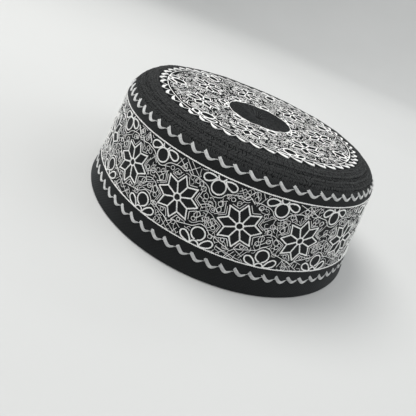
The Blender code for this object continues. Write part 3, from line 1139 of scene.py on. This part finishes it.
# ------------------------------------------------------------ crown embroidery
DISC_EDGE, RING_EDGE = 20.9, 60.4
CROWN_STARS = 7
CROWN_STAR = dict(radius=40.9, scale=0.98, first=math.radians(-95.2))
CROWN_FLOWERS = math.radians(-67.6)
CROWN_SCALLOP = ((0.0, -11.2), (2.0, -10.7), (3.9, -9.3), (5.1, -8.0), (7.2, -7.8), (9.0, -6.8),
                 (9.9, -4.6), (11.5, -3.0), (14.2, -2.8), (17.0, -4.2), (19.5, -6.4))
INNER_SCALLOP = ((0.0, 7.6), (1.7, 7.2), (3.0, 6.0), (4.2, 5.4), (6.0, 4.9), (7.2, 3.4), (7.9, 1.6))


def bent_frame(lines, azimuth, radius):
    """Lines drawn about (0, 0), y outward, carried to that azimuth and radius."""
    out = []
    for l in lines:
        l = np.asarray(l)
        a = azimuth + l[:, 0] / radius
        r = radius + l[:, 1]
        out.append(np.stack([r * np.cos(a), r * np.sin(a)], 1))
    return out


def crown_embroidery():
    rng = np.random.default_rng(23)
    main, lines, fill = Batch(crown_place), Batch(crown_place), Batch(crown_place)
    ground = Ground(-62, -62, 62, 62)
    low, low_closed = flower_lines(dict(LOW_FLOWER, petal=4.0))
    inner, inner_closed = flower_lines(HIGH_FLOWER, up=-1.0, scale=0.72)
    step = 2 * math.pi / CROWN_STARS
    charted, stars, blooms, scallops = [], [], [], []
    style = dict(MAIN, length=1.40, width=0.84, height=0.15)
    for k in range(CROWN_STARS):
        a = CROWN_STAR["first"] + k * step
        x, y = CROWN_STAR["radius"] * math.cos(a), CROWN_STAR["radius"] * math.sin(a)
        edge, first, second = star_with_echoes(ground, main, style, rng, CROWN_STAR["scale"],
                                               x, y, a - math.pi / 2)
        stars.append((edge, first))
        charted += [resampled(q, 0.45) for q in first]
        b = CROWN_FLOWERS + k * step
        for flower, closed, r in ((low, low_closed, RING_EDGE - 0.2), (inner, inner_closed, DISC_EDGE + 0.2)):
            for line, c in zip(bent_frame(flower, b, r), closed):
                main.rope(line, closed=c, rng=rng, **style)
                ground.keep_off(line, c)
                blooms.append(line)
        for side in (-1, 1):
            line = curved(np.array(CROWN_SCALLOP) * (side, 1), 0.4)
            scallops.append(bent_frame([line], b, RING_EDGE)[0])
            line = curved(np.array(INNER_SCALLOP) * (side, 1), 0.4)
            charted.append(bent_frame([line], b, DISC_EDGE)[0])
    for bloom in blooms:
        ground.shut(bloom)
    laid = []
    low_thread = dict(width=(0.38, 0.46), height=(0.06, 0.09))
    for line in charted:
        laid += thin(lines, rng, line, ground, 0.9, **low_thread)
    for line in scallops:
        lines.thread(line, 0.52, 0.10, base=0.02)
        laid.append(line)
    for edge, first in stars:
        close_round_star(ground, edge, first)
    j, i = np.indices(ground.d.shape)
    r = np.hypot(ground.x0 + (i + 0.5) * ground.STEP, ground.y0 + (j + 0.5) * ground.STEP)
    tangle = Tangle(ground, rng, (ground.d > 1.3) & (r > DISC_EDGE + 0.9) & (r < RING_EDGE - 1.3))
    for line in laid:
        tangle.lay(line)
    for line in tangle.run(CROWN_TANGLE):
        fill.thread(line, rng.uniform(0.32, 0.42), rng.uniform(0.05, 0.08), base=rng.uniform(-0.01, 0.02))
    for r in (DISC_EDGE, RING_EDGE):
        main.rope(arc(0, 0, r, 0, 359.9, 0.9), closed=True, rng=rng, pitch=0.9, length=1.3,
                  width=0.5, height=0.17, lean=math.radians(15))
    return main, lines, fill


CROWN_TANGLE = 3500.0
main, lines, fill = crown_embroidery()
pieces.append(main.build("crown_motifs", white_thread))
pieces.append(lines.build("crown_thin_lines", fine_thread))
pieces.append(fill.build("crown_ground_threads", fine_thread))


# -------------------------------------------------- black stitching on the crown
def shoulder_stitching():
    """Rows round the shoulder whose stitches lean by turns, like a braid."""
    batch = Batch(ring_place(72.0))
    rng = np.random.default_rng(5)
    for j in range(ROWS_COUNT):
        s = ROWS_START + j * ROW_PITCH
        r = hermite(np.array(s), RADII, RADIUS_SLOPES)[0]
        n = int(round(2 * math.pi * float(r) / 0.95))
        x = (np.arange(n) + 0.5 + rng.normal(0, 0.12, n)) / n * 2 * math.pi * 72.0
        lean = math.radians(90 + (30 if j % 2 else -30)) + rng.normal(0, 0.13, n)
        at = np.stack([x, s + rng.normal(0, 0.10, n) + 0.12 * np.sin(x * 0.35 + 2.1 * j)], 1)
        d = np.stack([np.cos(lean), np.sin(lean)], 1)
        low = 0.6 if abs(s - GROOVE) < 0.1 else (1.0, 0.85, 0.8)[max(j - ROWS_COUNT + 3, 0)]
        batch.stitches(at, d, 2.25 * (1 + rng.normal(0, 0.10, n)) * (0.5 + 0.5 * low), 0.74 * (0.4 + 0.6 * low),
                       np.clip(0.19 * low * (1 + rng.normal(0, 0.34, n)), 0.05, 0.36), base=-0.05 * low - 0.26 * (1 - low))
    return batch.build("shoulder_stitch_rows", black_thread)


def disc_stitching():
    """Radial stitches drawn in to the crown's centre with a slight swirl."""
    batch = Batch(crown_place)
    rng = np.random.default_rng(9)
    n = 96
    for k in range(n):
        start = 11.0 if k % 2 else (6.0 if k % 4 else 2.6)
        start += rng.uniform(-0.6, 0.6) if start > 2 else rng.uniform(-0.3, 0.3)
        r = np.linspace(start, 20.35, max(int((20.35 - start) / 1.3), 4))
        a = 2 * math.pi * k / n + 0.42 * (1 - r / 20.35) + rng.normal(0, 0.003, len(r))
        local = np.where(r > 11, n, np.where(r > 5.6, n / 2, n / 4))
        raised = k % 4 == 0
        width = np.minimum(0.55 * 2 * math.pi * r / local, 0.8) * (rng.uniform(0.9, 1.4) if raised else rng.uniform(0.5, 0.9))
        batch.thread(np.stack([r * np.cos(a), r * np.sin(a)], 1), width,
                     (0.36 if raised else 0.08) + 0.14 * rng.random(), sides=5, base=-0.05)
    return batch.build("disc_radial_stitches", disc_thread)


pieces.append(shoulder_stitching())
pieces.append(disc_stitching())

for piece in pieces:
    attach(piece, "root")


# ------------------------------------------------------------- floor and lights
def studio():
    """A pale sweep: flat floor that curves up into a wall all the way round."""
    material, tree, shader = fresh("pale_paper")
    spot = node(tree, "ShaderNodeTexCoord")
    cloud = node(tree, "ShaderNodeTexNoise", Scale=3.0, Detail=2.0)
    tree.links.new(spot.outputs["Object"], cloud.inputs["Vector"])
    ramp = mixed(tree, cloud.outputs["Fac"], (0.46, 0.465, 0.46), (0.50, 0.505, 0.50))
    tree.links.new(ramp.outputs["Color"], shader.inputs["Base Color"])
    shader.inputs["Roughness"].default_value = 0.75
    profile = [(0.0, 0.0), (0.35, 0.0), (0.8, 0.0), (1.3, 0.0)]
    profile += [(1.3 + 0.9 * math.sin(t), 0.9 - 0.9 * math.cos(t)) for t in np.linspace(0.12, math.pi / 2, 14)]
    profile += [(2.2, 1.6), (2.2, 2.4)]
    mesh = bpy.data.meshes.new("sweep")
    m = 96
    a = np.linspace(0, 2 * math.pi, m, endpoint=False)
    verts, faces = [(0.0, 0.0, 0.0)], []
    for r, z in profile[1:]:
        verts += [(r * math.cos(q), r * math.sin(q), z) for q in a]
    for i in range(m):
        faces.append((0, 1 + i, 1 + (i + 1) % m))
    for k in range(len(profile) - 2):
        for i in range(m):
            j = (i + 1) % m
            faces.append((1 + k * m + i, 1 + (k + 1) * m + i, 1 + (k + 1) * m + j, 1 + k * m + j))
    mesh.from_pydata(verts, [], faces)
    mesh.shade_smooth()
    mesh.materials.append(material)
    sweep = bpy.data.objects.new("sweep", mesh)
    bpy.context.scene.collection.objects.link(sweep)


def area(name, at, aim, size, power, colour=(1, 1, 1)):
    data = bpy.data.lights.new(name, "AREA")
    data.shape = "DISK"
    data.size = size
    data.energy = power
    data.color = colour
    lamp = bpy.data.objects.new(name, data)
    lamp.location = at
    lamp.rotation_euler = (Vector(aim) - Vector(at)).to_track_quat("-Z", "Y").to_euler()
    bpy.context.scene.collection.objects.link(lamp)


studio()
area("key", (-0.60, 0.25, 1.15), (0, 0, 0.03), 0.8, 16.5, (1.0, 0.99, 0.97))
area("side", (0.95, 0.05, 0.80), (0, 0, 0.03), 0.8, 4.6, (0.98, 0.99, 1.0))
area("front", (0.10, -1.10, 0.80), (0, 0, 0.03), 0.8, 4.2)
area("back", (0.55, 0.95, 1.00), (0.45, 1.50, 0.05), 0.8, 6.0)
world = bpy.data.worlds.new("room")
world.use_nodes = True
world.node_tree.nodes["Background"].inputs["Color"].default_value = (0.93, 0.95, 0.97, 1)
world.node_tree.nodes["Background"].inputs["Strength"].default_value = 0.75
bpy.context.scene.world = world
bpy.context.scene.view_settings.view_transform = "Standard"


# ---------------------------------------------------------------------- camera
# Found from circles of the cap in the photograph: roll, then pitch, then place.
FOCAL_PX = 380.0
CAMERA_ROLL, CAMERA_PITCH = 23.262, 29.52
CAMERA_OFFSET = Vector((0.3525, -0.59532, 3.01024))     # in wall-top radii
UNIT, UNIT_BASE = 0.081, 0.6567


def camera():
    flip = Matrix(((1, 0, 0), (0, 0, -1), (0, 1, 0)))
    look = (Matrix.Rotation(math.radians(CAMERA_ROLL), 3, "Z")
            @ Matrix.Rotation(math.radians(CAMERA_PITCH), 3, "X") @ flip)
    place = -(look.transposed() @ CAMERA_OFFSET) * UNIT
    place.z += UNIT_BASE * UNIT
    data = bpy.data.cameras.new("camera")
    data.sensor_width = 36.0
    data.lens = FOCAL_PX / 416.0 * 36.0
    data.clip_start, data.clip_end = 0.01, 50.0
    eye = bpy.data.objects.new("camera", data)
    turn = look.transposed() @ Matrix(((1, 0, 0), (0, -1, 0), (0, 0, -1)))
    eye.matrix_world = Matrix.Translation(place) @ turn.to_4x4()
    bpy.context.scene.collection.objects.link(eye)
    bpy.context.scene.camera = eye


camera()


# ---------------------------------------------------------------------- finish
def triangles(piece):
    return sum(len(p.vertices) - 2 for p in piece.data.polygons)


counts = {piece.name: triangles(piece) for piece in pieces}
print("triangles", counts, sum(counts.values()))
